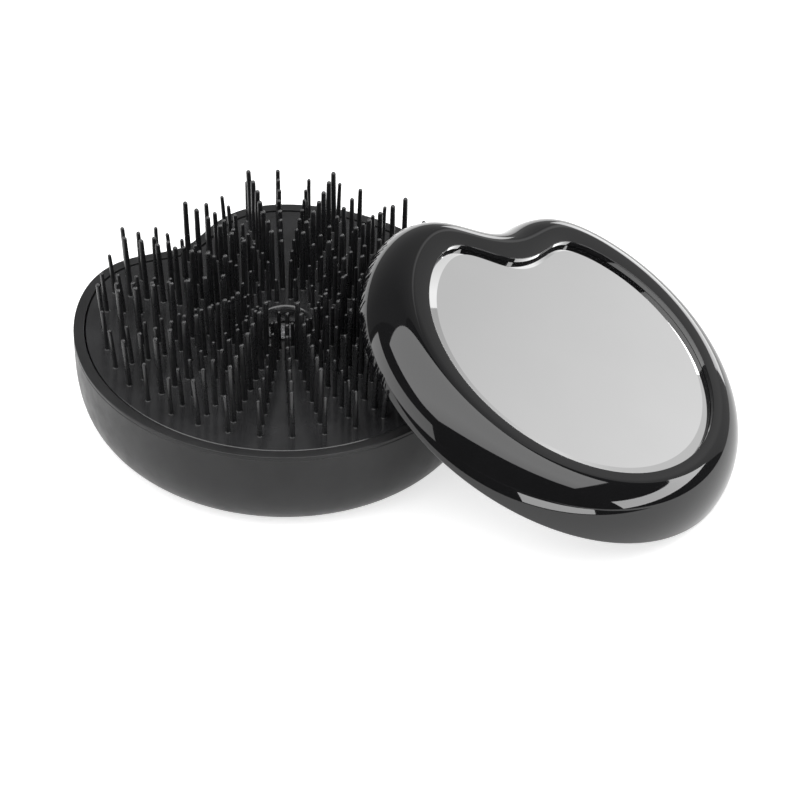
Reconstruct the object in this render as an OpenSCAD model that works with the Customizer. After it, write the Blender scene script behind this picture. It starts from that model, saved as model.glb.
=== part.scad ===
// Compact palm hairbrush with a spring-mounted bristle deck and a mirror lid.
// The brush stands on its back. The lid is taken off and leans over the bristles.
// The case outline is one closed curve round the middle, with a shallow thumb notch.

/* [Case outline] */
// Mean radius of the case outline
body_r = 44.5; // [38:0.5:52]
// How much longer the case is along the notch line, on each side
outline_stretch = 0.8; // [0:0.1:2]
// Depth of the thumb notch
notch_depth = 9.3; // [3:0.1:11]
// Angle from the middle of the notch over which it fades, in degrees
notch_spread = 18; // [14:0.5:24]
// Direction of the brush's notch, in degrees from the X axis
notch_dir = 127; // [0:1:359]

/* [Base] */
// Height of the base with its rim ring
base_h = 21.5; // [19:0.5:28]
// Wall of the base
base_wall = 1.8; // [1.2:0.1:2.2]
// Floor of the base
floor_t = 2; // [1.4:0.1:2.6]
// How far the base draws in from the rim to its flat underside
base_draw = 14; // [8:0.5:15]
// Width of the flat rim band
rim_w = 2.3; // [2:0.1:3.2]
// Height of the rim band's outer edge
rim_flange = 0.9; // [0.6:0.1:1.5]
// Depth of the rim ring's skirt inside the base
rim_skirt = 3; // [2:0.5:5]

/* [Bristle deck] */
// Gap between the deck and the rim ring
deck_gap = 0.3; // [0.2:0.05:0.6]
// How far the deck's face lies below the rim
deck_drop = 0.2; // [0:0.05:0.6]
// Thickness of the layer that holds the bristles
slice_t = 1.2; // [0.8:0.1:1.6]
// Thickness of the carrier under it
carrier_t = 1.6; // [1.2:0.1:2.4]
// Travel of the deck into the base
deck_travel = 9; // [5:0.5:10]

/* [Hub] */
// Hub centre along the notch line, from the outline's centre
hub_x = 0.4; // [-2:0.1:2]
// Hub centre across the notch line
hub_y = -1.5; // [-2:0.1:2]
// Outer radius of the well's collar
collar_r = 6.2; // [6:0.1:7]
// Radius of the well
well_r = 5.1; // [4.9:0.1:5.5]
// Depth of the well from the deck's face to its shoulder
well_depth = 4.4; // [3.6:0.1:6]
// How far the collar stands above the deck
collar_rise = 0.5; // [0.2:0.1:1]
// Radius of the guide post
post_r = 3.5; // [3:0.1:3.9]
// Running clearance round the post
post_fit = 0.08; // [0.05:0.01:0.1]
// Radius of the stop washer
washer_r = 4.7; // [4.4:0.1:4.8]
// Thickness of the stop washer
washer_t = 0.8; // [0.5:0.1:1.2]
// Radius of the screw head
head_r = 2.7; // [2.2:0.1:3.2]
// Height of the screw head
head_h = 1.4; // [1:0.1:2]
// Radius of the screw's shank
shank_r = 1.2; // [0.8:0.1:1.5]
// Length of the screw's shank
shank_l = 9; // [6:0.5:10]
// Mean radius of the spring
spring_r = 8.6; // [8:0.1:12]
// Wire diameter of the spring
wire_d = 1; // [0.7:0.1:1.2]
// Turns of the spring
spring_turns = 5; // [4:0.5:5]

/* [Bristles] */
// Number of bristle lines round the hub
lines = 36; // [30:1:39]
// Angle of the first line from the notch line
first_line = 6.5; // [0:0.5:10]
// Radius of the outermost bristle ring
ring_r = 38.6; // [34:0.2:40]
// Distance between the bristle rings
ring_step = 3.7; // [3.6:0.1:4.2]
// Radius of the ring of stubs round the well
inner_ring_r = 8; // [7.4:0.1:8.2]
// Room that a bristle keeps to the case outline
edge_room = 4; // [3.8:0.1:6]
// Length of the long bristles
long_l = 15.2; // [12:0.2:16]
// Length of the middle bristles
mid_l = 12.4; // [9:0.2:14]
// Length of the short bristles
short_l = 10; // [7:0.2:12]
// Length of the stubs round the well
stub_l = 6; // [4:0.2:8]
// Thickness of a long bristle at its foot
long_d = 1.3; // [0.9:0.05:1.3]
// Thickness of a middle bristle at its foot
mid_d = 1.15; // [0.8:0.05:1.2]
// Thickness of a short bristle at its foot
short_d = 1; // [0.6:0.05:1]
// Outward lean of the outermost bristles, as a part of their length
fan = 0.07; // [0:0.01:0.1]

/* [Lid] */
// Height of the lid's crest over its rim
lid_h = 11; // [10:0.1:14]
// Wall of the lid
lid_wall = 1.7; // [1.4:0.1:1.8]
// Distance from the outline in to the crest
crest_in = 8.2; // [6:0.1:9.4]
// Distance from the outline in to the mirror's recess
mirror_in = 10; // [9.8:0.1:14]
// How much further in the recess lies at the notch
mirror_dip = 2.4; // [0:0.1:3]
// How far the mirror's face lies below the crest
mirror_drop = 1; // [0.8:0.1:2.5]
// Thickness of the mirror
mirror_t = 1.4; // [1.2:0.1:2]
// Width of the mirror's bevel
bevel_w = 2; // [1:0.1:3]
// Height of the mirror's bevel
bevel_h = 0.25; // [0.2:0.1:0.7]
// Gap round the mirror
mirror_gap = 0.1; // [0.1:0.05:0.4]
// Thickness of the adhesive sheet
tape_t = 0.2; // [0.1:0.1:0.5]
// Thickness of the panel under the mirror
seat_t = 1; // [0.8:0.1:1.6]
// Height of the liner ring inside the lid's rim
liner_h = 2.4; // [1.6:0.1:2.8]
// Thickness of the liner ring
liner_t = 0.8; // [0.6:0.1:0.9]
// Width of each catch
catch_w = 8; // [5:0.5:12]
// How far each catch stands out of the rim
catch_out = 1.6; // [1:0.1:2]

/* [Lid at rest] */
// Place of the lid's centre along X
lid_x = 56.5; // [56.5:0.5:62]
// Place of the lid's centre along Y
lid_y = -15; // [-16:0.5:-14]
// Direction in which the lid leans down, in degrees from the X axis
lean_dir = -12; // [-20:1:0]
// Turn of the lid's notch about the lid's own axis, from the lean direction
lid_turn = 131; // [126:1:132]
// Height of the raised side of the lid's rim over the longest bristle tips
lid_over_tips = 2.7; // [2.7:0.1:5]

/* [Hidden] */
FACETS = 64;
FIELDS = 12;
BIG = 200;
deck_top = base_h - deck_drop;
slice_z = deck_top - slice_t;
carrier_z = slice_z - carrier_t;
deck_in = rim_w + deck_gap;
carrier_in = deck_in + 0.6;
shell_top = base_h - rim_flange;
rabbet_in = base_wall * 2 / 3;
rabbet_z = shell_top - rim_skirt - 0.1;
shoulder_z = deck_top - well_depth;
foot_t = 0.8;
collar_base = floor_t + foot_t + deck_travel + 0.2;
flange_t = 1.2;
spring_top = carrier_z - flange_t;
rings = floor((ring_r - inner_ring_r) / ring_step);
line_step = 360 / lines;
mirror_z = lid_h - mirror_drop;
glass_z = mirror_z - mirror_t;
seat_z = glass_z - tape_t;
ceiling_z = seat_z - seat_t;
edge_round = 0.4;
lip_round = 0.6;
liner_in = lid_wall + liner_t;
rim_reach_down = max([for (p = outline(0)) p.x * cos(lid_turn) - p.y * sin(lid_turn)]);
rim_reach_up = max([for (p = outline(0)) p.y * sin(lid_turn) - p.x * cos(lid_turn)]);
lid_lean = asin((deck_top + long_l + lid_over_tips) / (rim_reach_down + rim_reach_up));
lid_z = (rim_reach_down - 0.29 * edge_round) * sin(lid_lean) - 0.29 * edge_round * cos(lid_lean);
shell_c = [0.2, 0.2, 0.21];
gloss_c = [0.07, 0.07, 0.08];
steel_c = [0.66, 0.67, 0.69];
mirror_c = [0.8, 0.82, 0.84];
$fn = 64;

// Angle from the notch, from -180 to 180
function from_notch(a) = a > 180 ? a - 360 : a;
// Radius of the case outline and its slope per radian, where the notch is at angle 0
function notch_cut(a) = notch_depth * exp(-pow(from_notch(a) / notch_spread, 2));
function edge_r(a) = body_r + outline_stretch * cos(2 * a) - notch_cut(a);
function edge_slope(a) = -2 * outline_stretch * sin(2 * a)
    + notch_cut(a) * 2 * from_notch(a) / pow(notch_spread, 2) * 180 / PI;
// A point on the curve that runs d inside the outline: parallel to it for the first 9 mm,
// then drawn straight to the middle, so that the notch never folds over itself
function inset_point(a, d) =
    let (r = edge_r(a), s = edge_slope(a), near = min(d, 9), far = d - near)
    let (x = r - near * r / norm([r, s]), y = near * s / norm([r, s]))
    let (k = 1 - far / norm([x, y]))
    k * [x * cos(a) - y * sin(a), x * sin(a) + y * cos(a)];
// The outline's points lie closer together at the notch
function facet_angle(t) = t - 20 * sin(t);
// more is how much further in the curve lies at the notch
function outline(d, more = 0) = [
    for (i = [0:FACETS - 1])
        let (a = facet_angle(i * 360 / FACETS))
        inset_point(a, d + more * pow((1 + cos(a)) / 2, 2))
];
function at_height(points, z) = [for (p = points) [p.x, p.y, z]];

// Triangles between rings of n points, each joined to the next
function side_faces(n, count) = [
    for (j = [0:count - 2], i = [0:n - 1])
        let (a = j * n + i, b = j * n + (i + 1) % n)
        each [[a, a + n, b + n], [a, b + n, b]]
];

// A closed solid through rings of points, with a middle point in each end
module skin(loops, first_mid, last_mid) {
    n = len(loops[0]);
    total = n * len(loops);
    last = total - n;
    polyhedron(
        points = [for (loop = loops) each loop, first_mid, last_mid],
        faces = [
            each side_faces(n, len(loops)),
            for (i = [0:n - 1]) [total, i, (i + 1) % n],
            for (i = [0:n - 1]) [total + 1, last + (i + 1) % n, last + i]
        ]
    );
}

// A solid that follows the outline, from a profile of [inset, height] pairs, in which a third
// value says how much further in the profile lies at the notch
module cased(profile) {
    skin(
        [for (p = profile) at_height(outline(p[0], len(p) > 2 ? p[2] : 0), p[1])],
        [0, 0, profile[0][1]],
        [0, 0, profile[len(profile) - 1][1]]
    );
}

// A flat plate inside the outline
module plate(d, z, t, more = 0) {
    translate([0, 0, z]) linear_extrude(t) polygon(outline(d, more));
}

// A flat band between two insets
module band(outer_in, inner_in, z, t) {
    difference() {
        plate(outer_in, z, t);
        plate(inner_in, z - 1, t + 2);
    }
}

// A block that keeps what lies between two angles round the middle
module wedge(a0, a1) {
    mid = (a0 + a1) / 2;
    translate([0, 0, -BIG / 2]) linear_extrude(BIG) polygon([
        [0, 0], [cos(a0), sin(a0)] * BIG, [cos(mid), sin(mid)] * BIG, [cos(a1), sin(a1)] * BIG
    ]);
}

module in_case() {
    rotate([0, 0, notch_dir]) children();
}

module at_hub() {
    in_case() translate([hub_x, hub_y, 0]) children();
}

module on_lid() {
    translate([lid_x, lid_y, lid_z]) rotate([0, lid_lean, lean_dir])
        rotate([0, 0, lid_turn]) children();
}

// ---- Base ----

function bowl(a, draw, depth) = [draw * (1 - pow(cos(a), 0.6)), depth * (1 - pow(sin(a), 0.6))];

module base_shell() {
    outside = [for (a = [90:-11.25:0]) bowl(a, base_draw, shell_top)];
    inside = [
        for (a = [0:22.5:90])
            [base_wall, floor_t] + bowl(a, base_draw, rabbet_z - floor_t)
    ];
    color(shell_c) in_case() cased([
        each outside,
        [rabbet_in, shell_top],
        [rabbet_in, rabbet_z],
        each inside
    ]);
}

// Pocket in the rim ring that a lid catch snaps into
module catch_pocket(a) {
    intersection() {
        band(rim_w - 0.6, rim_w + 1, base_h - catch_out - 0.1, 0.9);
        wedge(a - 8, a + 8);
    }
}

module rim_ring() {
    color(shell_c) in_case() difference() {
        union() {
            band(0, rim_w, shell_top, rim_flange);
            band(rabbet_in + 0.05, rim_w, shell_top - rim_skirt, rim_skirt);
        }
        catch_pocket(0);
        catch_pocket(180);
    }
}

module guide_post() {
    bore_r = shank_r + 0.05;
    bore_z = shoulder_z - shank_l - 0.4;
    color(shell_c) at_hub() rotate_extrude() polygon([
        [0, floor_t], [collar_r - 0.2, floor_t], [collar_r - 0.2, floor_t + foot_t],
        [post_r, floor_t + foot_t], [post_r, shoulder_z], [bore_r, shoulder_z],
        [bore_r, bore_z], [0, bore_z]
    ]);
}

module stop_washer() {
    color(steel_c) at_hub() translate([0, 0, shoulder_z]) difference() {
        cylinder(r = washer_r, h = washer_t);
        translate([0, 0, -1]) cylinder(r = shank_r + 0.1, h = washer_t + 2);
    }
}

module centre_screw() {
    head_z = shoulder_z + washer_t;
    slot_w = head_r * 0.3;
    slot_l = head_r * 1.1;
    color(steel_c) at_hub() difference() {
        rotate_extrude() polygon([
            [0, head_z - shank_l], [shank_r, head_z - shank_l], [shank_r, head_z],
            [head_r, head_z], [head_r, head_z + head_h * 0.6],
            [head_r * 0.8, head_z + head_h], [0, head_z + head_h]
        ]);
        for (turn = [0, 90]) rotate([0, 0, turn])
            translate([-slot_l, -slot_w / 2, head_z + head_h * 0.4])
                cube([slot_l * 2, slot_w, head_h]);
    }
}

// Centre line of the spring: half a turn lies flat at each end
function spring_point(t) =
    let (rise = min(max((t - 0.5) / (spring_turns - 1), 0), 1))
    [
        spring_r * cos(360 * t), spring_r * sin(360 * t),
        floor_t + wire_d / 2 + (spring_top - floor_t - wire_d) * rise
    ];
function wire_ring(t) = let (c = spring_point(t)) [
    for (b = [0:60:300])
        c + wire_d / 2 * [cos(b) * cos(360 * t), cos(b) * sin(360 * t), sin(b)]
];

module deck_spring() {
    turns = [for (t = [spring_turns:-1 / 10:0]) t];
    color(steel_c) at_hub() skin(
        [for (t = turns) wire_ring(t)], spring_point(turns[0]), spring_point(turns[len(turns) - 1])
    );
}

// ---- Bristle deck ----

module deck_carrier() {
    color(gloss_c) difference() {
        in_case() plate(carrier_in, carrier_z, carrier_t);
        at_hub() cylinder(r = collar_r, h = base_h);
    }
}

module well_collar() {
    top = deck_top + collar_rise;
    bore_r = post_r + post_fit;
    flange_r = spring_r + wire_d;
    color(gloss_c) at_hub() rotate_extrude() polygon([
        [bore_r, collar_base], [collar_r, collar_base], [collar_r, carrier_z - flange_t],
        [flange_r, carrier_z - flange_t], [flange_r, carrier_z], [collar_r, carrier_z],
        [collar_r, top], [well_r + 0.5, top],
        [well_r, top - 0.7], [well_r, shoulder_z], [bore_r, shoulder_z]
    ]);
}

// A tapered bristle with a domed tip, from inside the slice
module bristle(foot, d, l) {
    lean = foot / ring_r * fan * l;
    tip = 0.5 * d;
    steps = [
        [-slice_t / 2, d], [0, d], [l - tip, 0.82 * d],
        if (d > short_d) [l - 0.3 * tip, 0.55 * d]
    ];
    turn = atan2(foot.y, foot.x) + 45;
    skin(
        [
            for (s = steps) [
                for (b = [0:90:270])
                    let (p = foot + lean * s[0] / l + s[1] / sqrt(2) * [cos(b + turn), sin(b + turn)])
                    [p.x, p.y, deck_top + s[0]]
            ]
        ],
        [foot.x, foot.y, deck_top - slice_t / 2],
        [foot.x + lean.x, foot.y + lean.y, deck_top + l]
    );
}

function line_angle(k) = first_line + k * line_step;
// Lines come in threes: one of long bristles with a short outermost one, one short, one middle
function bristle_size(k, j) =
    k % 3 == 0 ? (j == 0 ? [short_d, short_l] : [long_d, long_l]) :
    k % 3 == 1 ? [short_d, short_l] : [mid_d, mid_l];
// Next to the well only the short lines go on, between the stubs
function stands(k, r) = r > inner_ring_r + ring_step || k % 3 == 1;
function foot_point(k, r) = r * [cos(line_angle(k)), sin(line_angle(k))];
// Room between a foot and the case outline, seen from the middle of the outline
function room(foot) = let (p = foot + [hub_x, hub_y])
    edge_r((atan2(p.y, p.x) + 360) % 360) - norm(p);

module bristle_field(i) {
    from = round(i * lines / FIELDS);
    to = round((i + 1) * lines / FIELDS) - 1;
    color(gloss_c) at_hub() {
        difference() {
            intersection() {
                translate([-hub_x, -hub_y, 0]) plate(deck_in, slice_z, slice_t);
                wedge(line_angle(from) - line_step / 2, line_angle(to) + line_step / 2);
            }
            cylinder(r = collar_r, h = base_h + 1);
        }
        for (k = [from:to]) {
            for (j = [0:rings]) {
                foot = foot_point(k, ring_r - j * ring_step);
                size = bristle_size(k, j);
                if (room(foot) > edge_room && stands(k, norm(foot))) bristle(foot, size[0], size[1]);
            }
            if (k % 3 == 0) bristle(foot_point(k, inner_ring_r), short_d, stub_l);
        }
    }
}

// ---- Lid ----

module lid_shell() {
    corner = ceiling_z - liner_h;
    inside = [for (a = [90:-30:0]) [lid_wall + corner * (1 - cos(a)), liner_h + corner * sin(a)]];
    crest = [for (a = [6:14:90]) [crest_in * (1 - cos(a)), lid_h * sin(a)]];
    lip = [
        for (a = [90:-30:0])
            [mirror_in - lip_round * (1 - cos(a)), lid_h - 0.2 - lip_round * (1 - sin(a)), mirror_dip]
    ];
    color(gloss_c) on_lid() cased([
        [mirror_in + 1, ceiling_z],
        each inside,
        [lid_wall, 0],
        [edge_round, 0],
        [0.29 * edge_round, 0.29 * edge_round],
        each crest,
        each lip,
        [mirror_in, seat_z, mirror_dip]
    ]);
}

module lid_liner() {
    color(gloss_c) on_lid() band(lid_wall, liner_in, 0, liner_h);
}

// A tab on the liner with a bead that snaps into the rim ring
module catch_tab(a) {
    half = catch_w / body_r * 90 / PI;
    color(gloss_c) on_lid() intersection() {
        union() {
            band(liner_in, liner_in + 0.9, -catch_out, liner_h + catch_out);
            band(rim_w + 0.1, liner_in, -catch_out, 0.6);
        }
        wedge(a - half, a + half);
    }
}

module catch_front() {
    catch_tab(0);
}

module catch_back() {
    catch_tab(180);
}

module mirror_tape() {
    color(shell_c) on_lid() plate(mirror_in + 1, seat_z, tape_t, mirror_dip);
}

module mirror_glass() {
    edge_in = mirror_in + mirror_gap;
    color(mirror_c) on_lid() cased([
        [edge_in, glass_z, mirror_dip],
        [edge_in, mirror_z - bevel_h, mirror_dip],
        [edge_in + bevel_w, mirror_z, mirror_dip]
    ]);
}

base_shell();
rim_ring();
guide_post();
stop_washer();
centre_screw();
deck_spring();
deck_carrier();
well_collar();
bristle_field(0);  // bristle_field_01
bristle_field(1);  // bristle_field_02
bristle_field(2);  // bristle_field_03
bristle_field(3);  // bristle_field_04
bristle_field(4);  // bristle_field_05
bristle_field(5);  // bristle_field_06
bristle_field(6);  // bristle_field_07
bristle_field(7);  // bristle_field_08
bristle_field(8);  // bristle_field_09
bristle_field(9);  // bristle_field_10
bristle_field(10);  // bristle_field_11
bristle_field(11);  // bristle_field_12
lid_shell();
lid_liner();
catch_front();
catch_back();
mirror_tape();
mirror_glass();
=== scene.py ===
import math
import random

import bmesh
import bpy
from bpy.props import FloatProperty, FloatVectorProperty, IntProperty, PointerProperty
from mathutils import Matrix, Vector


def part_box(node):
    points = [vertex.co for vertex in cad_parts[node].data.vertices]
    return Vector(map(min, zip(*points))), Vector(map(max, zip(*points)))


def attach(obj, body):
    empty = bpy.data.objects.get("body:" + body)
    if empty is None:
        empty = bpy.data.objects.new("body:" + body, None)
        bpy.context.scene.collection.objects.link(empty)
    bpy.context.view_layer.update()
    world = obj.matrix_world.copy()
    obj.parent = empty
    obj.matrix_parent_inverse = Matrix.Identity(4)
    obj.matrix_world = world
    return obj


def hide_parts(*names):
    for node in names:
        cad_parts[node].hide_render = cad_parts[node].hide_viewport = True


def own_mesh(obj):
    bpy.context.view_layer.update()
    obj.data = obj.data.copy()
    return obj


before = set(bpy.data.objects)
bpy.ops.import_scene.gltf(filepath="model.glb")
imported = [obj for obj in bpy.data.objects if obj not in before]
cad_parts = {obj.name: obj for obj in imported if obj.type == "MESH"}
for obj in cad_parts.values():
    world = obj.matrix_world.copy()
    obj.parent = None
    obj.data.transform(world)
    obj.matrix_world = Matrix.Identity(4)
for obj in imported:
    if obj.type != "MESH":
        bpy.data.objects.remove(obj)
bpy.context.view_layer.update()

bl_info = {
    "name": "Compact Hairbrush",
    "version": (1, 0, 0),
    "blender": (4, 5, 0),
    "location": "3D View > Sidebar > Hairbrush",
    "description": "Builds a compact palm hairbrush with its mirror lid over the packed parts",
    "category": "Add Mesh",
}

FIELDS = 12
FIELD_NODES = ["bristle_field_%02d" % (i + 1) for i in range(FIELDS)]


# ---------------------------------------------------------------- settings

def length(name, description, mm):
    return FloatProperty(
        name=name, description=description, default=mm / 1000, min=0.0,
        subtype="DISTANCE", unit="LENGTH", precision=4)


def offset(name, description, mm):
    """A length that may be negative."""
    return FloatProperty(
        name=name, description=description, default=mm / 1000,
        subtype="DISTANCE", unit="LENGTH", precision=4)


def angle(name, description, degrees):
    return FloatProperty(
        name=name, description=description, default=math.radians(degrees),
        subtype="ANGLE", unit="ROTATION")


def share(name, description, value, top=1.0):
    return FloatProperty(name=name, description=description, default=value, min=0.0, max=top)


def colour(name, description, value):
    return FloatVectorProperty(
        name=name, description=description, default=value, min=0.0, max=1.0,
        size=3, subtype="COLOR")


class CaseSettings(bpy.types.PropertyGroup):
    """Sizes of the brush's case"""
    body_r: length("Case Radius", "Mean radius of the case outline", 44.5)
    stretch: length("Stretch", "How much longer the case is along the notch line", 0.8)
    notch_depth: length("Notch Depth", "Depth of the thumb notch", 9.3)
    notch_spread: angle("Notch Spread", "Angle over which the notch fades", 18)
    notch_dir: angle("Notch Direction", "Direction of the notch from the X axis", 127)
    height: length("Base Height", "Height of the base with its rim", 21.5)
    wall: length("Wall", "Wall of the base", 1.8)
    floor_t: length("Floor", "Floor of the base", 2.0)
    draw: length("Draw-in", "How far the base draws in towards its underside", 14)
    rim_w: length("Rim Width", "Width of the flat rim band", 2.3)
    flange: length("Rim Edge", "Height of the rim band's outer edge", 0.9)
    skirt: length("Rim Skirt", "Depth of the rim ring's skirt", 3.0)
    edge: length("Edge Rounding", "Rounding of the rim band's edges", 0.22)


class DeckSettings(bpy.types.PropertyGroup):
    """Sizes of the bristle deck"""
    gap: length("Groove", "Gap between the deck and the rim band", 0.3)
    drop: length("Drop", "How far the deck's face lies below the rim", 0.2)
    slice_t: length("Face Thickness", "Thickness of the deck's face", 1.2)
    hub_x: length("Hub Along", "Hub centre along the notch line", 0.4)
    hub_y: offset("Hub Across", "Hub centre across the notch line", -1.5)
    collar_r: length("Collar Radius", "Outer radius of the well's collar", 6.2)
    collar_edge: length("Collar Edge", "Rounding of the collar's top edges", 0.3)
    chamfer_w: length("Chamfer Width", "Width of the chamfer into the well", 0.5)
    chamfer_h: length("Chamfer Height", "Height of the chamfer into the well", 0.7)
    well_r: length("Well Radius", "Radius of the well in the collar", 5.1)
    well_depth: length("Well Depth", "Depth of the well below the deck's face", 4.4)
    bore_r: length("Bore Radius", "Radius of the collar's bore round the post", 3.58)
    spring_r: length("Spring Radius", "Mean radius of the return spring", 8.6)
    wire_d: length("Wire", "Thickness of the spring's wire", 1.0)
    turns: IntProperty(name="Turns", description="Turns of the return spring", default=5, min=3)


class BristleSettings(bpy.types.PropertyGroup):
    """Sizes and counts of the bristles"""
    lines: IntProperty(name="Lines", description="Bristle lines round the hub", default=36, min=12)
    first_line: angle("First Line", "Angle of the first line from the notch line", 6.5)
    ring_r: length("Outer Ring", "Radius of the outermost ring", 38.6)
    ring_step: length("Ring Step", "Distance between the rings", 3.7)
    inner_r: length("Inner Ring", "Radius of the ring of stubs round the well", 8.0)
    edge_room: length("Edge Room", "Room that a bristle keeps to the case outline", 4.0)
    long_l: length("Long", "Length of the long bristles", 15.2)
    mid_l: length("Middle", "Length of the middle bristles", 12.4)
    short_l: length("Short", "Length of the short bristles", 10.0)
    stub_l: length("Stub", "Length of the stubs round the well", 6.0)
    long_d: length("Long Foot", "Thickness of a long bristle at its foot", 1.3)
    mid_d: length("Middle Foot", "Thickness of a middle bristle at its foot", 1.15)
    short_d: length("Short Foot", "Thickness of a short bristle at its foot", 1.0)
    fan: share("Fan", "Outward lean of the outermost bristles over their length", 0.07)
    seed: IntProperty(name="Seed", description="Seed of the small bends", default=7)


class LidSettings(bpy.types.PropertyGroup):
    """Sizes and place of the mirror lid"""
    height: length("Crest Height", "Height of the lid's crest over its rim", 11)
    wall: length("Wall", "Wall of the lid", 1.7)
    crest_in: length("Crest Inset", "Distance from the outline in to the crest", 8.2)
    mirror_in: length("Mirror Inset", "Distance from the outline in to the recess", 10.0)
    mirror_dip: length("Mirror Dip", "How much further in the recess lies at the notch", 2.4)
    mirror_drop: length("Mirror Drop", "How far the mirror lies below the crest", 1.0)
    mirror_t: length("Mirror Thickness", "Thickness of the mirror", 1.4)
    bevel_w: length("Bevel Width", "Width of the mirror's bevel", 2.0)
    bevel_h: length("Bevel Height", "Height of the mirror's bevel", 0.25)
    mirror_gap: length("Mirror Gap", "Gap round the mirror", 0.1)
    tape_t: length("Tape", "Thickness of the adhesive sheet", 0.2)
    seat_t: length("Panel", "Thickness of the panel under the mirror", 1.0)
    liner_h: length("Liner Height", "Height of the liner ring", 2.4)
    edge: length("Rim Rounding", "Rounding of the lid's rim", 0.4)
    lip: length("Lip Rounding", "Rounding of the recess's lip", 0.15)
    place_x: length("Place X", "Place of the lid's centre along X", 56.5)
    place_y: offset("Place Y", "Place of the lid's centre along Y", -15)
    lean_dir: angle("Lean Direction", "Direction in which the lid leans down", -12)
    turn: angle("Turn", "Turn of the lid's notch about its own axis", 131)
    over_tips: length("Over Tips", "Height of the raised rim over the longest tips", 2.7)


class FinishSettings(bpy.types.PropertyGroup):
    """Colours and gloss of the finishes"""
    shell: colour("Shell", "Colour of the satin case", (0.017, 0.017, 0.0175))
    deck: colour("Deck", "Colour of the deck's moulding", (0.02, 0.02, 0.021))
    bristle: colour("Bristle", "Colour of the bristles", (0.013, 0.013, 0.014))
    lid: colour("Lid", "Colour of the lid's gloss plastic", (0.004, 0.004, 0.0045))
    mirror: colour("Mirror", "Tint of the mirror", (0.87, 0.87, 0.87))
    steel: colour("Steel", "Colour of the plain steel", (0.55, 0.55, 0.56))
    tape: colour("Tape", "Colour of the adhesive sheet", (0.06, 0.06, 0.06))


class StudioSettings(bpy.types.PropertyGroup):
    """Camera, lights and floor"""
    aim: FloatVectorProperty(
        name="Aim", description="Point that the camera looks at",
        default=(0.02556, -0.02559, 0.0215), size=3, subtype="TRANSLATION", unit="LENGTH")
    distance: length("Distance", "Distance from the camera to its aim", 835.07)
    elevation: angle("Elevation", "Camera's height above the horizon", 38.45)
    lens: FloatProperty(
        name="Lens", description="Focal length on a 36 mm sensor", default=180.0, min=1.0,
        subtype="DISTANCE_CAMERA", unit="CAMERA")
    floor: colour("Floor", "Colour of the floor", (0.8, 0.8, 0.8))
    floor_lift: share("Floor Lift", "How much paler the floor shows to the eye", 0.7)
    light: share("Light", "Strength of the softboxes", 1.0, 10.0)
    fill: share("Fill", "Strength of the soft light from all round", 0.25)


GROUPS = [
    ("brush_case", CaseSettings), ("brush_deck", DeckSettings),
    ("brush_bristles", BristleSettings), ("brush_lid", LidSettings),
    ("brush_finish", FinishSettings), ("brush_studio", StudioSettings),
]


# ---------------------------------------------------------------- outline

OUTLINE_POINTS = 256
TRUE_INSET = 0.009  # insets run square to the outline this far, and from there to the centre
CROWDING = 0.35  # share by which an outline's points lie closer together at the notch
ROUND_MIDDLE = 0.29  # how far in the middle of a quarter round lies, as a share of its radius
CAP_IN = 0.001  # how much further in a flat cap has a ring of its own


def edge_radius(case, a):
    """Radius of the case outline and its slope, with the notch at angle 0."""
    off = (a + math.pi) % math.tau - math.pi
    cut = case.notch_depth * math.exp(-(off / case.notch_spread) ** 2)
    radius = case.body_r + case.stretch * math.cos(2 * a) - cut
    slope = -2 * case.stretch * math.sin(2 * a) + cut * 2 * off / case.notch_spread ** 2
    return radius, slope


def inset_point(case, a, d):
    """A point on the curve that runs d inside the outline."""
    r, s = edge_radius(case, a)
    near = min(d, TRUE_INSET)
    reach = math.hypot(r, s)
    x, y = r - near * r / reach, near * s / reach
    k = 1 - (d - near) / math.hypot(x, y)
    return (k * (x * math.cos(a) - y * math.sin(a)), k * (x * math.sin(a) + y * math.cos(a)))


def outline(case, d, more=0.0):
    """The inset curve as points, closer together at the notch, where it lies more further in."""
    points = []
    for i in range(OUTLINE_POINTS):
        t = math.tau * i / OUTLINE_POINTS
        a = t - CROWDING * math.sin(t)
        points.append(inset_point(case, a, d + more * ((1 + math.cos(a)) / 2) ** 2))
    return points


def case_turn(case):
    return Matrix.Rotation(case.notch_dir, 4, "Z")


def hub_place(case, deck):
    return case_turn(case) @ Matrix.Translation((deck.hub_x, deck.hub_y, 0))


def deck_top(case, deck):
    return case.height - deck.drop


def lid_place(case, deck, bristles, lid):
    """The lid's place: one side of its rim on the floor, the other over the bristle tips."""
    across = [x * math.cos(lid.turn) - y * math.sin(lid.turn) for x, y in outline(case, 0)]
    raised = deck_top(case, deck) + bristles.long_l + lid.over_tips
    lean = math.asin(raised / (max(across) - min(across)))
    soft = ROUND_MIDDLE * lid.edge
    z = (max(across) - soft) * math.sin(lean) - soft * math.cos(lean)
    return (Matrix.Translation((lid.place_x, lid.place_y, z))
            @ Matrix.Rotation(lid.lean_dir, 4, "Z") @ Matrix.Rotation(lean, 4, "Y")
            @ Matrix.Rotation(lid.turn, 4, "Z"))


# ---------------------------------------------------------------- mesh tools

def mesh_piece(name, verts, faces, place, material, sharp=30):
    """A smooth-shaded piece, whose edges stay crisp where they turn by more than sharp degrees."""
    mesh = bpy.data.meshes.new(name)
    mesh.from_pydata([place @ Vector(v) for v in verts], [], faces)
    mesh.validate()
    work = bmesh.new()
    work.from_mesh(mesh)
    bmesh.ops.recalc_face_normals(work, faces=work.faces)
    work.to_mesh(mesh)
    work.free()
    mesh.shade_smooth()
    mesh.set_sharp_from_angle(angle=math.radians(sharp))
    mesh.materials.append(material)
    piece = bpy.data.objects.new(name, mesh)
    bpy.context.scene.collection.objects.link(piece)
    return piece


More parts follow.
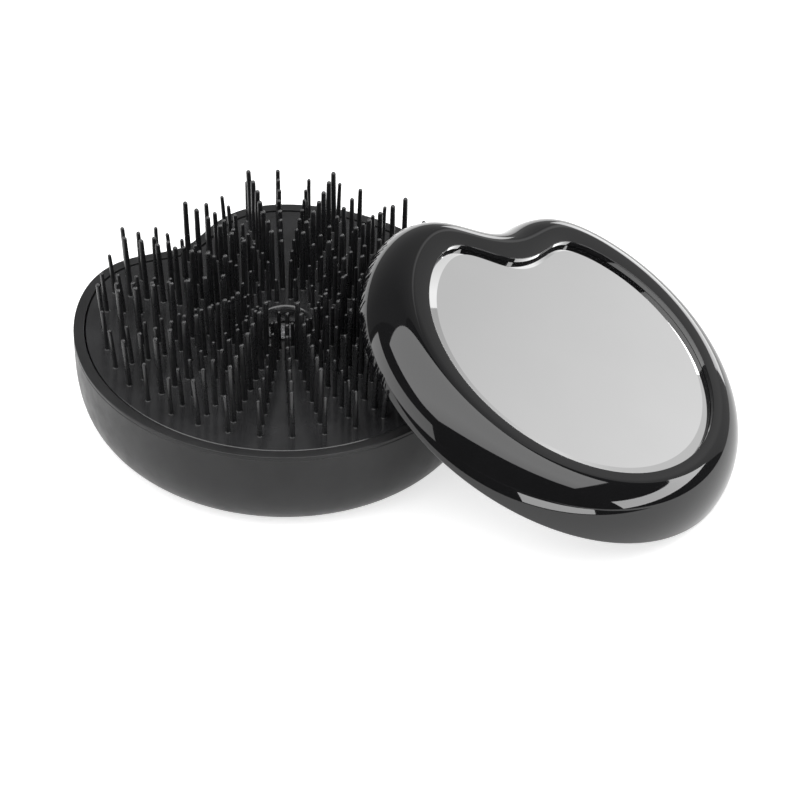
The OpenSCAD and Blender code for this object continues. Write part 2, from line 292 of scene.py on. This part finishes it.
def strip_faces(count, rings, closed):
    """Quads between rings of points, each ring joined to the next."""
    faces = []
    for j in range(rings if closed else rings - 1):
        k = (j + 1) % rings
        for i in range(count):
            n = (i + 1) % count
            faces.append((j * count + i, k * count + i, k * count + n, j * count + n))
    return faces


def case_loft(name, case, profile, place, material, closed=False, sharp=30):
    """A solid round the outline, from insets and heights, some with a dip at the notch."""
    count = OUTLINE_POINTS
    verts = [(x, y, z) for d, z, *dip in profile for x, y in outline(case, d, *dip)]
    faces = strip_faces(count, len(profile), closed)
    if not closed:
        first, last = len(verts), len(verts) + 1
        base = (len(profile) - 1) * count
        verts += [(0, 0, profile[0][1]), (0, 0, profile[-1][1])]
        faces += [(first, i, (i + 1) % count) for i in range(count)]
        faces += [(last, base + (i + 1) % count, base + i) for i in range(count)]
    return mesh_piece(name, verts, faces, place, material, sharp)


def quarter(a0, a1, steps):
    """Angles from a0 to a1 in even steps, in degrees, as radians."""
    return [math.radians(a0 + (a1 - a0) * i / steps) for i in range(steps + 1)]


# ---------------------------------------------------------------- finishes

class Nodes:
    """Short calls for building one material's nodes."""

    def __init__(self, name):
        self.material = bpy.data.materials.new(name)
        self.material.use_nodes = True
        self.tree = self.material.node_tree
        self.shader = self.tree.nodes["Principled BSDF"]
        self.coords = self.tree.nodes.new("ShaderNodeTexCoord")

    def add(self, kind, **values):
        node = self.tree.nodes.new(kind)
        for key, value in values.items():
            if key in node.inputs:
                node.inputs[key].default_value = value
            else:
                setattr(node, key, value)
        return node

    def link(self, a, b):
        self.tree.links.new(a, b)

    def noise(self, scale, detail, roughness=0.5):
        node = self.add("ShaderNodeTexNoise", Scale=scale, Detail=detail, Roughness=roughness)
        self.link(self.coords.outputs["Object"], node.inputs["Vector"])
        return node

    def gloss(self, source, low, high):
        node = self.add("ShaderNodeMapRange", **{
            "From Min": 0.3, "From Max": 0.7, "To Min": low, "To Max": high})
        self.link(source, node.inputs["Value"])
        self.link(node.outputs["Result"], self.shader.inputs["Roughness"])

    def shades(self, source, dark, pale, start=0.35, stop=0.65):
        node = self.add("ShaderNodeValToRGB")
        ends = node.color_ramp.elements
        ends[0].position, ends[1].position = start, stop
        ends[0].color, ends[1].color = (*dark, 1), (*pale, 1)
        self.link(source, node.inputs["Fac"])
        self.link(node.outputs["Color"], self.shader.inputs["Base Color"])

    def bump(self, source, distance, strength=1.0, below=None):
        node = self.add("ShaderNodeBump", Distance=distance, Strength=strength)
        self.link(source, node.inputs["Height"])
        if below:
            self.link(below.outputs["Normal"], node.inputs["Normal"])
        self.link(node.outputs["Normal"], self.shader.inputs["Normal"])
        return node


def tinted(c, k):
    return tuple(min(1.0, v * k) for v in c)


def moulded_plastic(name, tone, rough, grain, wave, mottling=0.18, ior=1.5):
    """Moulded plastic: slight mottling, fine grain and the long waves of a cooled moulding."""
    m = Nodes(name)
    cloud = m.noise(90, 3)
    m.shades(cloud.outputs["Fac"], tinted(tone, 1 - mottling), tinted(tone, 1 + mottling))
    m.gloss(m.noise(260, 5, 0.6).outputs["Fac"], rough * 0.85, rough * 1.18)
    low = m.bump(m.noise(130, 2).outputs["Fac"], wave, 0.6)
    if grain:
        m.bump(m.noise(3200, 3, 0.65).outputs["Fac"], grain, 0.7, low)
    m.shader.inputs["IOR"].default_value = ior
    return m.material


def satin_shell(finish):
    return moulded_plastic("satin_shell", finish.shell, 0.38, 0.000012, 0.00001, ior=1.34)


def deck_moulding(finish):
    return moulded_plastic("deck_moulding", finish.deck, 0.16, 0.000003, 0.00012, 0.3, ior=1.56)


def bristle_nylon(finish):
    return moulded_plastic("bristle_nylon", finish.bristle, 0.28, 0.000003, 0.00001, 0.25)


def lid_gloss(finish):
    return moulded_plastic("lid_gloss", finish.lid, 0.035, 0, 0.000004, 0.1)


def silvered_glass(finish):
    """Back-silvered glass: nearly perfect, with faint haze and a slow ripple."""
    m = Nodes("silvered_glass")
    haze = m.noise(60, 2)
    m.shades(haze.outputs["Fac"], tinted(finish.mirror, 0.985), finish.mirror)
    m.gloss(haze.outputs["Fac"], 0.02, 0.035)
    m.bump(m.noise(25, 1).outputs["Fac"], 0.00001, 0.2)
    m.shader.inputs["Metallic"].default_value = 1.0
    return m.material


def plain_steel(finish):
    """Bright steel with fine turned lines round the upright axis."""
    m = Nodes("plain_steel")
    m.shades(m.noise(400, 4).outputs["Fac"], tinted(finish.steel, 0.8), finish.steel)
    lines = m.add(
        "ShaderNodeTexWave", wave_type="RINGS", rings_direction="Z", Scale=2500, Distortion=1.5)
    m.link(m.coords.outputs["Object"], lines.inputs["Vector"])
    m.bump(lines.outputs["Fac"], 0.000008, 0.4)
    m.gloss(m.noise(700, 3).outputs["Fac"], 0.22, 0.38)
    m.shader.inputs["Metallic"].default_value = 1.0
    return m.material


def adhesive_foam(finish):
    """Dark foam tape with open pores, whose pits are darkened with painted shade."""
    m = Nodes("adhesive_foam")
    pores = m.add("ShaderNodeTexVoronoi", Scale=2600)
    m.link(m.coords.outputs["Object"], pores.inputs["Vector"])
    # painted shade: the colour darkens towards the bottom of each pore's pit, where the bump below
    # sinks the surface
    m.shades(pores.outputs["Distance"], tinted(finish.tape, 0.6), finish.tape, 0.1, 0.5)
    m.bump(pores.outputs["Distance"], 0.00005, 0.6)
    m.shader.inputs["Roughness"].default_value = 0.85
    return m.material


FINISHES = {
    "shell": satin_shell, "deck": deck_moulding, "bristle": bristle_nylon, "lid": lid_gloss,
    "mirror": silvered_glass, "steel": plain_steel, "tape": adhesive_foam,
}


def finish_of(context, slot):
    """The finish of a material slot, made once."""
    maker = FINISHES[slot]
    name = maker.__name__
    return bpy.data.materials.get(name) or maker(context.scene.brush_finish)


def dress(context, slot, *nodes):
    """Gives carried-over CAD nodes their finish."""
    for name in nodes:
        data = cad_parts[name].data
        data.materials.clear()
        data.materials.append(finish_of(context, slot))


def join_frame(piece, body, slot, *nodes):
    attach(piece, body)
    if nodes:
        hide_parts(*nodes)


# ---------------------------------------------------------------- base

class HAIRBRUSH_OT_case(bpy.types.Operator):
    """Make the satin base shell and its rim band"""
    bl_idname = "hairbrush.case"
    bl_label = "Case and Rim Band"

    def execute(self, context):
        case = context.scene.brush_case
        place = case_turn(case)
        satin = finish_of(context, "shell")
        top = case.height - case.flange
        seam, fit, fullness = 0.00012, 0.00005, 0.6

        def bowl(t, depth):
            c, s = max(math.cos(t), 0.0), max(math.sin(t), 0.0)
            return case.draw * (1 - c ** fullness), depth * (1 - s ** fullness)

        outside = [bowl(t, top) for t in quarter(90, 0, 30)]
        outside[-1:] = [(0, top - seam), (seam, top)]
        ledge = case.wall * 2 / 3
        ledge_z = top - case.skirt - 2 * fit
        inside = [
            (case.wall + d, case.floor_t + z)
            for d, z in (bowl(t, ledge_z - case.floor_t) for t in quarter(0, 90, 20))
        ]
        profile = outside + [(ledge, top), (ledge, ledge_z)] + inside
        shell = case_loft("base_case", case, profile, place, satin)
        join_frame(shell, "base", "shell", "base_shell")

        r, soft = case.edge, 0.6 * case.edge
        outer = [
            (r - r * math.cos(t), case.height - r + r * math.sin(t)) for t in quarter(0, 90, 5)
        ]
        inner = [
            (case.rim_w - soft + soft * math.sin(t), case.height - soft + soft * math.cos(t))
            for t in quarter(0, 90, 4)
        ]
        hem, side = top - case.skirt, ledge + fit
        ring = [(seam, top), (0, top + seam)] + outer + inner + [
            (case.rim_w, hem), (side, hem), (side, top)]
        band = case_loft("rim_band", case, ring, place, satin, closed=True)
        join_frame(band, "base", "shell", "rim_ring")
        return {"FINISHED"}


def eased(before, corner, after, reach, steps=6):
    """Points of a soft corner, which starts reach before it and ends reach after it."""
    b, c, a = Vector(before), Vector(corner), Vector(after)
    start, end = c + (b - c).normalized() * reach, c + (a - c).normalized() * reach
    shares = [i / steps for i in range(steps + 1)]
    return [tuple(start.lerp(c, f).lerp(c.lerp(end, f), f)) for f in shares]


def collar_profile(deck, face, under):
    """Radii and heights round the collar's wall, with its flange under the carrier."""
    low, top = (corner[2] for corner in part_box("well_collar"))
    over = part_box("deck_carrier")[0][2]
    r, flange_r = deck.collar_r, deck.spring_r + deck.wire_d
    shoulder = face - deck.well_depth
    side, edge = (r, over), (r, top)
    brim, throat = (deck.well_r + deck.chamfer_w, top), (deck.well_r, top - deck.chamfer_h)
    outer_edge = eased(side, edge, brim, 0.6 * deck.collar_edge)
    inner_edge = eased(edge, brim, throat, deck.collar_edge)
    return [
        (deck.bore_r, low), (r, low), (r, under), (flange_r, under), (flange_r, over), side,
        *outer_edge, *inner_edge, throat, (deck.well_r, shoulder), (deck.bore_r, shoulder)]


def coil(deck, low, high, steps=36, sides=10):
    """A spring between two heights, which lies flat for half a turn at each end."""
    wire, count = deck.wire_d / 2, deck.turns * steps
    verts = []
    for i in range(count + 1):
        rise = min(max((i / steps - 0.5) / (deck.turns - 1), 0), 1)
        z = low + wire + (high - low - deck.wire_d) * rise
        a = math.tau * i / steps
        for k in range(sides):
            b = math.tau * k / sides
            r = deck.spring_r + wire * math.cos(b)
            verts.append((r * math.cos(a), r * math.sin(a), z + wire * math.sin(b)))
    last = count * sides
    return verts, strip_faces(sides, count + 1, False) + [
        tuple(range(sides)), tuple(range(last, last + sides))]


class HAIRBRUSH_OT_hub(bpy.types.Operator):
    """Make the collar and the return spring, and finish the post, washer, screw and carrier"""
    bl_idname = "hairbrush.hub"
    bl_label = "Hub and Spring"

    def execute(self, context):
        dress(context, "shell", "guide_post")
        dress(context, "steel", "stop_washer", "centre_screw")
        dress(context, "deck", "deck_carrier")
        case, deck = context.scene.brush_case, context.scene.brush_deck
        low = case.floor_t
        high = sum(corner[2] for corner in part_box("deck_spring")) - low
        place = hub_place(case, deck)
        profile, count = collar_profile(deck, deck_top(case, deck), high), 120
        around = [math.tau * i / count for i in range(count)]
        verts = [(r * math.cos(a), r * math.sin(a), z) for r, z in profile for a in around]
        faces = strip_faces(count, len(profile), True)
        collar = mesh_piece("collar", verts, faces, place, finish_of(context, "deck"))
        join_frame(collar, "bristle_deck", "deck", "well_collar")

        verts, faces = coil(deck, low, high)
        spring = mesh_piece("return_spring", verts, faces, place, finish_of(context, "steel"), 60)
        join_frame(spring, "base", "steel", "deck_spring")
        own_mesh(spring)
        return {"FINISHED"}


# ---------------------------------------------------------------- bristle deck

class HAIRBRUSH_OT_deck_face(bpy.types.Operator):
    """Make the glossy face that the bristles stand on"""
    bl_idname = "hairbrush.deck_face"
    bl_label = "Deck Face"

    def execute(self, context):
        case, deck = context.scene.brush_case, context.scene.brush_deck
        count, soft, flat_in = OUTLINE_POINTS, 0.00015, 0.004
        top = deck_top(case, deck)
        low = top - deck.slice_t
        edge = case.rim_w + deck.gap
        rings = [
            [(x, y, z) for x, y in outline(case, d)]
            for d, z in ((edge, low), (edge, top - soft), (edge + 0.4 * soft, top - 0.4 * soft),
                         (edge + soft, top), (edge + flat_in, top))
        ]
        outer = rings[-1]
        hole = []
        for x, y, z in outer:
            dx, dy = x - deck.hub_x, y - deck.hub_y
            k = deck.collar_r / math.hypot(dx, dy)
            hole.append((deck.hub_x + k * dx, deck.hub_y + k * dy))
        rings += [
            [(x + (hx - x) * f, y + (hy - y) * f, top) for (x, y, z), (hx, hy) in zip(outer, hole)]
            for f in (0.25, 0.5, 0.75, 1.0)
        ]
        rings.append([(x, y, low) for x, y in hole])
        face = mesh_piece(
            "deck_face", [p for ring in rings for p in ring],
            strip_faces(count, len(rings), True), case_turn(case), finish_of(context, "deck"))
        join_frame(face, "bristle_deck", "deck")
        return {"FINISHED"}


def bristle_rings(d, l, lean, bend, sides):
    """Rings of a bristle: flared foot, tapering shaft, round tip."""
    root, flare, flare_h, low_flare, point_r = 0.0003, 0.00016, 0.00008, 0.00005, 0.00002
    foot, tip = 0.5 * d, 0.41 * d
    steps = [(-root, foot), (0.0, foot + flare), (flare_h, foot + low_flare), (root, foot),
             (0.35 * l, 0.475 * d), (0.7 * l, 0.44 * d), (l - tip, tip)]
    steps += [(l - tip + tip * math.sin(t), tip * math.cos(t)) for t in quarter(22, 90, 3)]
    around = [math.tau * i / sides for i in range(sides)]
    rings = []
    for z, r in steps:
        f, wide = max(z, 0.0) / l, max(r, point_r)
        cx, cy = lean[0] * f + bend[0] * f * f, lean[1] * f + bend[1] * f * f
        rings.append([(cx + wide * math.cos(a), cy + wide * math.sin(a), z) for a in around])
    return rings


class HAIRBRUSH_OT_bristles(bpy.types.Operator):
    """Make the bristles, one piece for each field of the deck"""
    bl_idname = "hairbrush.bristles"
    bl_label = "Bristles"

    @staticmethod
    def line(b, k, rings):
        """Radius, thickness and length of each bristle of a line, which come in threes."""
        short, kind = (b.short_d, b.short_l), (b.mid_d, b.mid_l)
        if k % 3 == 0:
            kind = (b.long_d, b.long_l)
        elif k % 3 == 1:
            kind = short
        for j in range(rings + 1):
            r = b.ring_r - j * b.ring_step
            if r > b.inner_r + b.ring_step or k % 3 == 1:
                yield (r, *(short if k % 3 == 0 and j == 0 else kind))
        if k % 3 == 0:
            yield b.inner_r, b.short_d, b.stub_l

    def execute(self, context):
        case, deck = context.scene.brush_case, context.scene.brush_deck
        b = context.scene.brush_bristles
        place = hub_place(case, deck)
        top = deck_top(case, deck)
        chance = random.Random(b.seed)
        sides, most_bend = 12, 0.00025
        rings = int((b.ring_r - b.inner_r) / b.ring_step)
        for field in range(FIELDS):
            verts, faces = [], []
            first = round(field * b.lines / FIELDS)
            last = round((field + 1) * b.lines / FIELDS)
            for k in range(first, last):
                a = b.first_line + math.tau * k / b.lines
                for r, d, l in self.line(b, k, rings):
                    x, y = r * math.cos(a), r * math.sin(a)
                    px, py = x + deck.hub_x, y + deck.hub_y
                    if edge_radius(case, math.atan2(py, px))[0] - math.hypot(px, py) <= b.edge_room:
                        continue
                    lean = (x / b.ring_r * b.fan * l, y / b.ring_r * b.fan * l)
                    bend = [chance.uniform(-most_bend, most_bend) for _ in range(2)]
                    start = len(verts)
                    loops = bristle_rings(d, l, lean, bend, sides)
                    verts += [(x + u, y + v, top + w) for loop in loops for u, v, w in loop]
                    faces += [
                        tuple(start + i for i in f) for f in strip_faces(sides, len(loops), False)
                    ]
                    faces.append(tuple(start + i for i in reversed(range(sides))))
                    end = start + (len(loops) - 1) * sides
                    faces.append(tuple(end + i for i in range(sides)))
            piece = mesh_piece(
                "bristles_%02d" % (field + 1), verts, faces, place,
                finish_of(context, "bristle"), sharp=50)
            join_frame(piece, "bristle_deck", "bristle", FIELD_NODES[field])
        return {"FINISHED"}


# ---------------------------------------------------------------- lid

class HAIRBRUSH_OT_lid(bpy.types.Operator):
    """Make the high-gloss lid and finish its liner and catches"""
    bl_idname = "hairbrush.lid"
    bl_label = "Lid"

    def execute(self, context):
        scene = context.scene
        case, lid = scene.brush_case, scene.brush_lid
        place = lid_place(case, scene.brush_deck, scene.brush_bristles, lid)
        seat = lid.height - lid.mirror_drop - lid.mirror_t - lid.tape_t
        ceiling = seat - lid.seat_t
        round_r = ceiling - lid.liner_h
        inside = [
            (lid.wall + round_r * (1 - math.cos(t)), lid.liner_h + round_r * math.sin(t))
            for t in quarter(90, 0, 12)
        ]
        e = lid.edge
        rim = [(lid.wall - 0.5 * e, 0)] + [
            (e * (1 - math.sin(t)), e * (1 - math.cos(t))) for t in quarter(0, 90, 6)
        ]
        crest = [
            (lid.crest_in * (1 - math.cos(t)), lid.height * math.sin(t)) for t in quarter(4, 90, 40)
        ]
        lip = [
            (lid.mirror_in - lid.lip * (1 - math.sin(t)), lid.height - lid.lip * (1 - math.cos(t)),
             lid.mirror_dip)
            for t in quarter(0, 90, 8)
        ]
        profile = [(lid.mirror_in + CAP_IN, ceiling)] + inside + [(lid.wall, 0.5 * e)]
        profile += rim + crest + lip + [(lid.mirror_in, seat, lid.mirror_dip)]
        shell = case_loft("lid_case", case, profile, place, finish_of(context, "lid"), sharp=40)
        join_frame(shell, "lid", "lid", "lid_shell")
        dress(context, "lid", "lid_liner", "catch_front", "catch_back")
        return {"FINISHED"}


class HAIRBRUSH_OT_mirror(bpy.types.Operator):
    """Make the bevelled mirror and finish its adhesive sheet"""
    bl_idname = "hairbrush.mirror"
    bl_label = "Mirror"

    def execute(self, context):
        scene = context.scene
        case, lid = scene.brush_case, scene.brush_lid
        place = lid_place(case, scene.brush_deck, scene.brush_bristles, lid)
        face = lid.height - lid.mirror_drop
        edge = lid.mirror_in + lid.mirror_gap
        back = face - lid.mirror_t
        dip = lid.mirror_dip
        profile = [
            (edge, back, dip), (edge, face - lid.bevel_h, dip), (edge + lid.bevel_w, face, dip),
            (edge + lid.bevel_w + CAP_IN, face, dip)]
        glass = case_loft("mirror", case, profile, place, finish_of(context, "mirror"), sharp=5)
        join_frame(glass, "lid", "mirror", "mirror_glass")
        dress(context, "tape", "mirror_tape")
        return {"FINISHED"}


# ---------------------------------------------------------------- studio

def seen_rays(tree):
    """A socket that is 1 for rays from the camera, from gloss or through glass, and else 0."""
    path = tree.nodes.new("ShaderNodeLightPath")
    seen = path.outputs["Is Camera Ray"]
    for ray in ("Is Glossy Ray", "Is Transmission Ray"):
        either = tree.nodes.new("ShaderNodeMath")
        either.operation = "MAXIMUM"
        tree.links.new(seen, either.inputs[0])
        tree.links.new(path.outputs[ray], either.inputs[1])
        seen = either.outputs[0]
    return seen


def backdrop_material(name, tone, lift):
    """A matt surface that keeps its shadows and is shown paler to the eye and to gloss."""
    m = Nodes(name)
    shader = m.shader
    shader.inputs["Base Color"].default_value = (*tone, 1)
    shader.inputs["Roughness"].default_value = 0.9
    shader.inputs["Specular IOR Level"].default_value = 0.1
    strength = m.add("ShaderNodeMath", operation="MULTIPLY")
    m.link(seen_rays(m.tree), strength.inputs[0])
    strength.inputs[1].default_value = lift
    shader.inputs["Emission Color"].default_value = (1, 1, 1, 1)
    m.link(strength.outputs[0], shader.inputs["Emission Strength"])
    return m.material


def card_material(name, stops, skew=0.0):
    """A card whose tone runs through stops, (share along it, tone) pairs, skewed by its height."""
    m = Nodes(name)
    m.shader.inputs["Base Color"].default_value = (0, 0, 0, 1)
    m.shader.inputs["Specular IOR Level"].default_value = 0.0
    m.shader.inputs["Emission Color"].default_value = (1, 1, 1, 1)
    along = m.add("ShaderNodeVectorMath", operation="DOT_PRODUCT")
    m.link(m.coords.outputs["UV"], along.inputs[0])
    along.inputs[1].default_value = (1, -skew, 0)
    ramp = m.add("ShaderNodeValToRGB")
    points = ramp.color_ramp.elements
    while len(points) < len(stops):
        points.new(0.5)
    for point, (at, tone) in zip(points, stops):
        point.position, point.color = at, (tone, tone, tone, 1)
    m.link(along.outputs["Value"], ramp.inputs["Fac"])
    m.link(ramp.outputs["Color"], m.shader.inputs["Emission Strength"])
    return m.material


def round_card(name, around, reach, sides, low, high, material):
    """A card on a sphere round the object, seen by its gloss only.

    sides are the azimuths of its two ends from +Y towards +X, and low and high the elevations
    of its two edges at each end, all in degrees.
    """
    steps, rows = 24, 8
    verts, spots = [], []
    for j in range(rows + 1):
        for i in range(steps + 1):
            u, v = i / steps, j / rows
            az = math.radians(sides[0] + (sides[1] - sides[0]) * u)
            bottom, top = low[0] + (low[1] - low[0]) * u, high[0] + (high[1] - high[0]) * u
            el = math.radians(bottom + (top - bottom) * v)
            out = Vector((math.sin(az) * math.cos(el), math.cos(az) * math.cos(el), math.sin(el)))
            verts.append(Vector(around) + reach * out)
            spots.append((u, v))
    wide = steps + 1
    faces = [
        (j * wide + i, j * wide + i + 1, (j + 1) * wide + i + 1, (j + 1) * wide + i)
        for j in range(rows) for i in range(steps)
    ]
    return gloss_card(name, verts, faces, spots, material)


def flat_card(name, corners, material):
    """A flat card from four corners, seen by the object's gloss only."""
    return gloss_card(name, corners, [(0, 1, 2, 3)], [(0, 0), (1, 0), (1, 1), (0, 1)], material)


def gloss_card(name, verts, faces, spots, material):
    mesh = bpy.data.meshes.new(name)
    mesh.from_pydata(verts, [], faces)
    chart = mesh.uv_layers.new(name="chart")
    for loop in mesh.loops:
        chart.data[loop.index].uv = spots[loop.vertex_index]
    mesh.materials.append(material)
    card = bpy.data.objects.new(name, mesh)
    bpy.context.scene.collection.objects.link(card)
    card.visible_camera = card.visible_diffuse = card.visible_shadow = False
    return card


def softbox(name, place, size, power):
    """A rectangular softbox that shines straight down."""
    data = bpy.data.lights.new(name, "AREA")
    data.shape = "RECTANGLE"
    data.size, data.size_y = size
    data.energy = power
    box = bpy.data.objects.new(name, data)
    bpy.context.scene.collection.objects.link(box)
    box.location = place
    return box


def plain_world(scene, fill):
    """White to the eye, to gloss and to glass, and a soft fill to everything else."""
    world = bpy.data.worlds.new("studio")
    scene.world = world
    world.use_nodes = True
    tree = world.node_tree
    background = tree.nodes["Background"]
    background.inputs["Color"].default_value = (1, 1, 1, 1)
    strength = tree.nodes.new("ShaderNodeMath")
    strength.operation = "MULTIPLY_ADD"
    tree.links.new(seen_rays(tree), strength.inputs[0])
    strength.inputs[1].default_value, strength.inputs[2].default_value = 1 - fill, fill
    tree.links.new(strength.outputs[0], background.inputs["Strength"])


def studio_camera(scene, studio):
    """The camera, which looks down at its aim from the front."""
    data = bpy.data.cameras.new("camera")
    data.lens, data.sensor_width = studio.lens, 36
    data.clip_start, data.clip_end = 0.05, 50
    camera = bpy.data.objects.new("camera", data)
    scene.collection.objects.link(camera)
    e = studio.elevation
    back = Vector((0, -math.cos(e), math.sin(e))) * studio.distance
    camera.location = Vector(studio.aim) + back
    camera.rotation_euler = (math.pi / 2 - e, 0, 0)
    scene.camera = camera


def paper_floor(scene, studio):
    """A pale floor that reaches far past the picture."""
    mesh = bpy.data.meshes.new("floor")
    reach = 6.0
    corners = [(-reach, -reach, 0), (reach, -reach, 0), (reach, reach, 0), (-reach, reach, 0)]
    mesh.from_pydata(corners, [], [(0, 1, 2, 3)])
    mesh.materials.append(backdrop_material("floor_paper", studio.floor, studio.floor_lift))
    floor = bpy.data.objects.new("floor", mesh)
    scene.collection.objects.link(floor)


def overhead_light(studio):
    """The softbox over the object, and the card under it that shows in the gloss instead."""
    lamp = softbox("overhead", (-0.22, -0.56, 1.5), (4.15, 2.22), 58 * studio.light)
    lamp.visible_glossy = False
    left, right, front, back, height = -2.3, 1.85, -1.67, 0.55, 1.49
    corners = [
        (left, front, height), (left, back, height), (right, back, height), (right, front, height)]
    tones = card_material("lamp_card", [(0, 3.3), (0.4, 3.9), (1, 3.6)])
    flat_card("overhead_card", corners, tones)


def wall_cards(black, bright):
    """The dark tent round the object, with the grey sweep and the windows in front of it."""
    grey = card_material("grey_sweep", [
        (0, 0.22), (0.5, 0.38), (0.63, 0.59), (0.69, 0.78), (0.74, 0.6), (1, 0.45)], 0.4)
    left = card_material("left_window", [(0, 2.2), (1, 2.9)])
    low = card_material("low_window", [(0, 3.5), (0.5, 7.0), (1, 6.0)])
    bevel = card_material("bevel_window", [(0, 0.36), (0.2, 0.72), (0.33, 1.0)], 0.9)
    centre, tent_r, sweep_r, window_r, foot = (0.03, -0.03, 0.0), 3.0, 2.9, 2.8, (0.3, 0.3)
    round_card("tent", centre, tent_r, (-180, 180), (0.2, 0.2), (90, 90), black)
    round_card("sweep", centre, sweep_r, (-62, 58), foot, (69, 56), grey)
    round_card("window_left", centre, window_r, (-124, -66), foot, (17, 17), left)
    round_card("window_right", centre, window_r, (57, 124), (19, 1), (28, 14), bright)
    round_card("window_low", centre, window_r, (13, 42), foot, (12, 21), low)
    round_card("window_bevel", centre, window_r, (20, 32.5), (17, 17), (52, 52), bevel)


def table_cards(black, bright):
    """The dark end of the table in front of the object, with a bright strip on it."""
    near, far, left, low, high = -0.125, -2.9, -2.9, 0.0008, 0.0016
    flat_card("table_end", [
        (left, near, low), (left, far, low), (0.6, far, low), (0.3, near, low)], black)
    near, far = near - 0.004, -0.42
    flat_card("front_strip", [
        (0.04, near, high), (0.0, far, high), (0.34, far, high), (0.115, near, high)], bright)


class HAIRBRUSH_OT_stage(bpy.types.Operator):
    """Set up the camera, the floor, the world, the softbox and the cards"""
    bl_idname = "hairbrush.stage"
    bl_label = "Studio"

    def execute(self, context):
        scene, studio = context.scene, context.scene.brush_studio
        studio_camera(scene, studio)
        paper_floor(scene, studio)
        plain_world(scene, studio.fill)
        overhead_light(studio)
        black = card_material("black_card", [(0, 0.12), (1, 0.12)])
        bright = card_material("right_window", [(0, 7.6), (1, 8.2)])
        wall_cards(black, bright)
        table_cards(black, bright)
        scene.view_settings.view_transform = "Standard"
        return {"FINISHED"}


# ---------------------------------------------------------------- add-on

class HAIRBRUSH_PT_panel(bpy.types.Panel):
    """Lists the pieces to make and their sizes"""
    bl_label = "Hairbrush"
    bl_idname = "HAIRBRUSH_PT_panel"
    bl_space_type = "VIEW_3D"
    bl_region_type = "UI"
    bl_category = "Hairbrush"

    def draw(self, context):
        layout = self.layout
        for operator in OPERATORS:
            layout.operator(operator.bl_idname)
        for prop, group in GROUPS:
            box = layout.box()
            box.label(text=group.__doc__)
            settings = getattr(context.scene, prop)
            for name in group.__annotations__:
                box.prop(settings, name)


OPERATORS = [
    HAIRBRUSH_OT_case, HAIRBRUSH_OT_hub, HAIRBRUSH_OT_deck_face, HAIRBRUSH_OT_bristles,
    HAIRBRUSH_OT_lid, HAIRBRUSH_OT_mirror, HAIRBRUSH_OT_stage,
]
CLASSES = [group for _, group in GROUPS] + OPERATORS + [HAIRBRUSH_PT_panel]


def register():
    for cls in CLASSES:
        bpy.utils.register_class(cls)
    for prop, group in GROUPS:
        setattr(bpy.types.Scene, prop, PointerProperty(type=group))


def unregister():
    for prop, _ in GROUPS:
        delattr(bpy.types.Scene, prop)
    for cls in reversed(CLASSES):
        bpy.utils.unregister_class(cls)


def main():
    register()
    for operator in OPERATORS:
        getattr(bpy.ops.hairbrush, operator.bl_idname.split(".")[1])()


if __name__ == "__main__":
    main()
